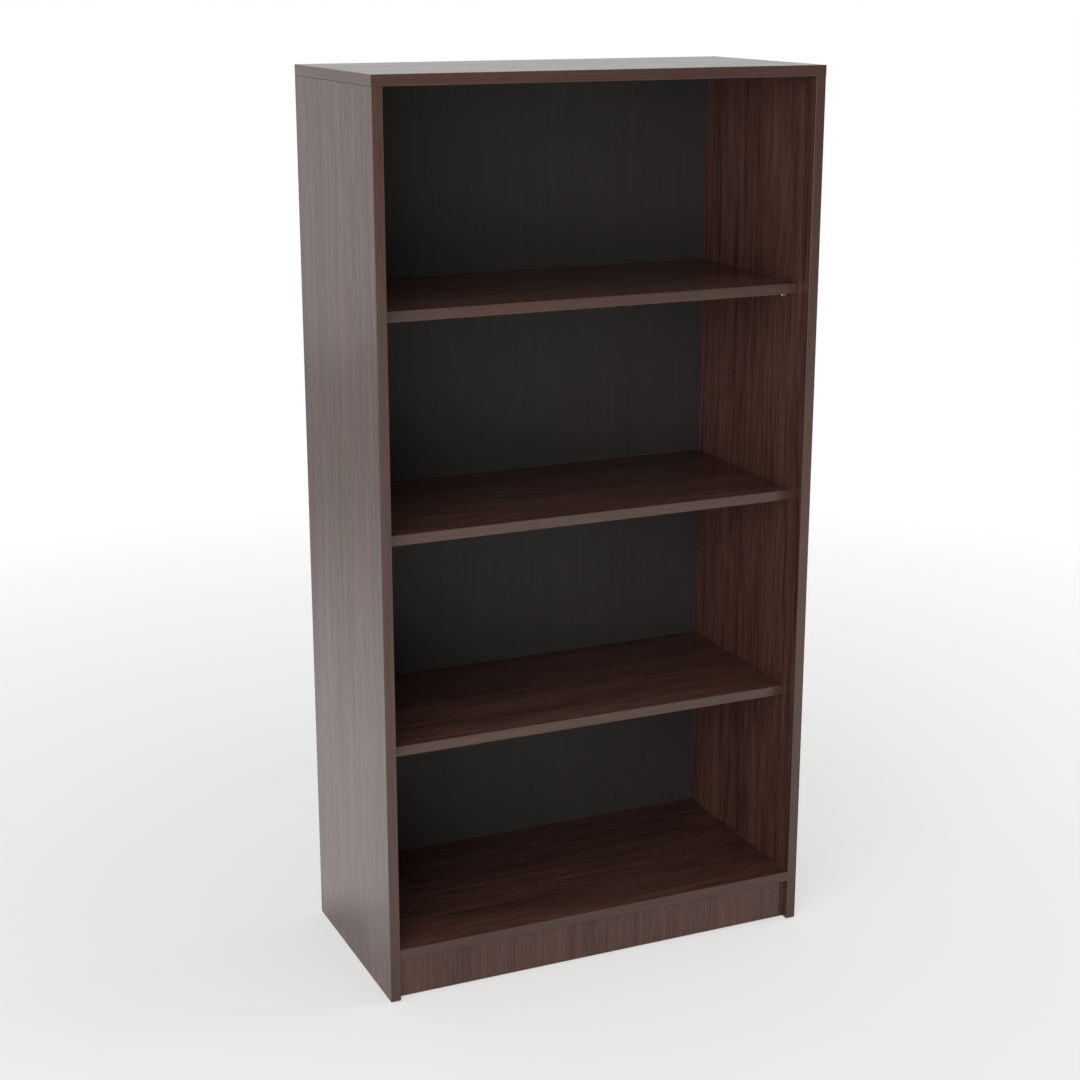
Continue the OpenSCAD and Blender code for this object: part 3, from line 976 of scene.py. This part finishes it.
class SHELVING_OT_floor_glides(bpy.types.Operator):
    """Model the plastic glides under the sides"""
    bl_idname = "shelving.floor_glides"
    bl_label = "Floor glides"

    # The sunk hole's depth as a share of the disc's height
    HOLE_DEPTH = 0.5
    # The width of the ring round the hole, as a share of the disc's radius
    HOLE_RING = 0.62
    # How far above the floor the nail starts inside the disc, as a share of the disc's height
    NAIL_START = 0.6

    def execute(self, context):
        finish, trim = context.scene.shelving_finish, context.scene.shelving_trim
        plastic = plain_material("glide_plastic", finish.glide, gloss=0.5, grain_scale=1200.0, amount=0.2)
        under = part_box("left_side")[0].z
        boxes = solids("floor_glides")
        first = self.glide(trim, boxes[0], under)
        for number, (low, high) in enumerate(boxes, 1):
            middle = (low + high) / 2
            made = copy_to(first, f"floor_glide_{number}", Matrix.Translation((middle.x, middle.y, 0.0)))
            hand_over(made, plastic, "case", "floor_glides")
        bpy.data.objects.remove(first)
        return {"FINISHED"}

    def glide(self, trim, box, height):
        """A glide on the floor: a disc with a rounded lower edge, a sunk nail hole and its nail."""
        low, high = box
        radius = (high.x - low.x) / 2
        piece = add_round("glide", 48, radius, height, height / 2 * Z)
        pick("FACE", facing(-Z))
        bpy.ops.mesh.inset(thickness=self.HOLE_RING * radius)
        bpy.ops.mesh.extrude_region_move(TRANSFORM_OT_translate={"value": self.HOLE_DEPTH * height * Z})
        on_floor = at_plane(Z, 0.0)
        round_edges(
            trim.glide_round, 4,
            lambda edge: on_floor(edge) and all(p.xy.length > 0.9 * radius for p in ends(edge)))
        start = self.NAIL_START * height
        bpy.ops.mesh.select_all(action="DESELECT")
        bpy.ops.mesh.primitive_cylinder_add(
            vertices=16, radius=trim.glide_nail / 2, depth=high.z - start,
            location=(high.z + start) / 2 * Z)
        settle(piece)
        smooth(piece, 40)
        return piece


class SHELVING_OT_stage(bpy.types.Operator):
    """Set the camera, the lamps, the floor and the background"""
    bl_idname = "shelving.stage"
    bl_label = "Stage"

    # The place that the lamps aim at
    AIM = Vector((0.0, 0.0, 0.7))
    # Each lamp's name, place and width, and the setting that holds its power
    LAMPS = (
        ("key_lamp", Vector((-3.2, -3.3, 1.7)), 3.4, "key_power"),
        ("fill_lamp", Vector((4.2, -0.6, 1.8)), 2.6, "fill_power"),
        ("top_lamp", Vector((0.0, -0.6, 4.6)), 3.0, "top_power"),
    )

    FLOOR_MIDDLE = (0.0, -2.0, 0.0)
    # To the camera, the floor turns to white between these distances from the object
    FLOOR_FADE = (0.9, 3.2)
    # In reflections, a pool of light is painted on the floor: it has a middle, and ends between two
    # distances from it
    PAINTED_POOL_MIDDLE = (0.6, -3.2, 0.0)
    PAINTED_POOL_EDGE = (4.4, 6.7)
    # The painted pool also ends between two places along X, each moved by this share of the place along Y
    PAINTED_POOL_RIGHT_EDGE = (3.6, 6.9)
    PAINTED_POOL_SLANT = 0.45
    # Painted shade in reflections at the object's foot, over the floor's own shadow: its middle and half
    # size along Y, soft edge and brightness
    FOOT_MIDDLE = -0.145
    FOOT_HALF = 0.275
    FOOT_EDGE = (0.04, 0.18)
    PAINTED_FOOT_SHADE = 0.2

    # In reflections, the room turns to the backdrop between these parts of a ray's way along Y,
    # and the walls turn to the ceiling between these parts of its way along Z
    ROOM_TO_BACKDROP = (-0.6, 0.2)
    WALLS_TO_CEILING = (0.15, 0.7)

    def execute(self, context):
        scene = context.scene
        stage = scene.shelving_stage
        self.camera(scene, stage)
        self.lamps(stage)
        self.floor(stage)
        self.world(scene, stage)
        scene.view_settings.view_transform = "Standard"
        return {"FINISHED"}

    def camera(self, scene, stage):
        """The camera, at the place from which the object looks most as in the photograph."""
        clear_selection()
        bpy.ops.object.camera_add(
            location=stage.camera_place,
            rotation=(math.radians(90) - stage.camera_tilt, 0.0, -stage.camera_turn),
        )
        camera = bpy.context.object
        camera.data.sensor_width = 36.0
        camera.data.lens = stage.lens
        camera.data.shift_y = stage.shift
        scene.camera = camera

    def lamps(self, stage):
        """The square lamps at the front left, at the right and overhead."""
        for name, place, width, setting in self.LAMPS:
            clear_selection()
            bpy.ops.object.light_add(type="AREA", location=place)
            lamp = bpy.context.object
            lamp.name = name
            lamp.rotation_euler = (place - self.AIM).to_track_quat("Z", "Y").to_euler()
            lamp.data.size = width
            lamp.data.energy = getattr(stage, setting)

    def floor(self, stage):
        """A pale floor that keeps the shadow and fades into the white background."""
        clear_selection()
        bpy.ops.mesh.primitive_circle_add(
            vertices=96, radius=stage.floor_radius, fill_type="NGON", location=self.FLOOR_MIDDLE)
        floor = bpy.context.object
        floor.name = "floor"
        settle(floor)
        made, tree, shader, place = new_material("floor")
        shader.inputs["Base Color"].default_value = opaque(stage.floor)
        shader.inputs["Roughness"].default_value = 0.9
        shader.inputs["Specular IOR Level"].default_value = 0.0
        seen = put(tree, "ShaderNodeLightPath").outputs
        lift = remap(tree, vector_node(tree, "LENGTH", place), *self.FLOOR_FADE, stage.floor_lift, 1.0)
        to_camera = math_node(tree, "MULTIPLY", lift, seen["Is Camera Ray"])
        # Glossy rays see the floor's painted pool of light, and painted shade at the object's foot
        to_mirror = math_node(
            tree, "MULTIPLY", self.painted_floor_reflection(tree, place, stage), self.mirrored(tree, seen))
        whiteness = math_node(tree, "MAXIMUM", to_camera, to_mirror)
        white = put(tree, "ShaderNodeEmission", {"Color": WHITE, "Strength": 1.0}).outputs[0]
        mixed = put(
            tree, "ShaderNodeMixShader", {0: whiteness, 1: shader.outputs[0], 2: white},
        ).outputs[0]
        out = next(n for n in tree.nodes if n.type == "OUTPUT_MATERIAL")
        tree.links.new(mixed, out.inputs["Surface"])
        floor.data.materials.append(made)

    def mirrored(self, tree, seen):
        """Where light reaches the eye by a mirror or through glass."""
        return math_node(tree, "MAXIMUM", seen["Is Glossy Ray"], seen["Is Transmission Ray"])

    def painted_floor_reflection(self, tree, place, stage):
        """The floor in reflections: a painted pool of light in front, dim far off, and painted shade
        round the object's foot.
        """
        from_painted_pool = vector_node(tree, "DISTANCE", place, self.PAINTED_POOL_MIDDLE)
        around = remap(tree, from_painted_pool, *self.PAINTED_POOL_EDGE, stage.floor_painted_pool, stage.floor_far)
        parts = put(tree, "ShaderNodeSeparateXYZ", {0: place}).outputs
        slant = math_node(tree, "MULTIPLY", parts["Y"], self.PAINTED_POOL_SLANT)
        rightwards = math_node(tree, "SUBTRACT", parts["X"], slant)
        fading = remap(tree, rightwards, *self.PAINTED_POOL_RIGHT_EDGE, stage.floor_painted_pool, stage.floor_far)
        lit = math_node(tree, "MINIMUM", around, fading)
        # The painted shade fades with the distance from a box on the floor that is as wide as the object
        centred = vector_node(tree, "ADD", place, (0.0, -self.FOOT_MIDDLE, 0.0))
        corner = vector_node(tree, "ABSOLUTE", centred)
        beyond = vector_node(tree, "SUBTRACT", corner, (CAD_BOX[1][0], self.FOOT_HALF, 0.0))
        outside = vector_node(tree, "LENGTH", vector_node(tree, "MAXIMUM", beyond))
        shade = remap(tree, outside, *self.FOOT_EDGE, self.PAINTED_FOOT_SHADE, 1.0)
        return math_node(tree, "MULTIPLY", lit, shade)

    def world(self, scene, stage):
        """White to the camera, a dim room with a pale backdrop in reflections, and an even light."""
        world = bpy.data.worlds.new("studio")
        scene.world = world
        world.use_nodes = True
        tree = world.node_tree
        seen = put(tree, "ShaderNodeLightPath").outputs
        way = put(tree, "ShaderNodeTexCoord").outputs["Generated"]
        parts = put(tree, "ShaderNodeSeparateXYZ", {0: way}).outputs
        walls = remap(tree, parts["Y"], *self.ROOM_TO_BACKDROP, stage.room, stage.backdrop)
        overhead = remap(tree, parts["Z"], *self.WALLS_TO_CEILING)
        around = put(
            tree, "ShaderNodeMix", {"Factor": overhead, 2: walls, 3: stage.ceiling}, data_type="FLOAT",
        ).outputs[0]
        to_mirror = put(
            tree, "ShaderNodeMix", {"Factor": self.mirrored(tree, seen), 2: stage.ambient, 3: around},
            data_type="FLOAT",
        ).outputs[0]
        ground = next(n for n in tree.nodes if n.type == "BACKGROUND")
        ground.inputs["Color"].default_value = WHITE
        strength = math_node(tree, "MAXIMUM", to_mirror, seen["Is Camera Ray"])
        tree.links.new(strength, ground.inputs["Strength"])


class SHELVING_PT_panel(bpy.types.Panel):
    """Settings and steps of the shelving unit"""
    bl_label = "Shelving unit"
    bl_idname = "SHELVING_PT_panel"
    bl_space_type = "VIEW_3D"
    bl_region_type = "UI"
    bl_category = "Shelving"

    def draw(self, context):
        for operator in OPERATORS:
            self.layout.operator(operator.bl_idname)
        for settings in ("shelving_finish", "shelving_trim", "shelving_stage"):
            box = self.layout.box()
            group = getattr(context.scene, settings)
            for field in group.__annotations__:
                box.prop(group, field)


OPERATORS = (
    SHELVING_OT_node_groups,
    SHELVING_OT_boards,
    SHELVING_OT_back_panel,
    SHELVING_OT_edge_bands,
    SHELVING_OT_joint_fittings,
    SHELVING_OT_cam_caps,
    SHELVING_OT_shelf_pins,
    SHELVING_OT_back_screws,
    SHELVING_OT_floor_glides,
    SHELVING_OT_stage,
)
CLASSES = (ShelvingFinish, ShelvingTrim, ShelvingStage, *OPERATORS, SHELVING_PT_panel)


def register():
    """Make the settings, operators and panel known to Blender."""
    for item in CLASSES:
        bpy.utils.register_class(item)
    bpy.types.Scene.shelving_finish = PointerProperty(type=ShelvingFinish)
    bpy.types.Scene.shelving_trim = PointerProperty(type=ShelvingTrim)
    bpy.types.Scene.shelving_stage = PointerProperty(type=ShelvingStage)


def unregister():
    """Take them back out of Blender."""
    for settings in ("shelving_stage", "shelving_trim", "shelving_finish"):
        delattr(bpy.types.Scene, settings)
    for item in reversed(CLASSES):
        bpy.utils.unregister_class(item)


def main():
    """Run every step in order."""
    register()
    bpy.ops.shelving.node_groups()
    bpy.ops.shelving.boards()
    bpy.ops.shelving.back_panel()
    bpy.ops.shelving.edge_bands()
    bpy.ops.shelving.joint_fittings()
    bpy.ops.shelving.cam_caps()
    bpy.ops.shelving.shelf_pins()
    bpy.ops.shelving.back_screws()
    bpy.ops.shelving.floor_glides()
    bpy.ops.shelving.stage()


if __name__ == "__main__":
    main()
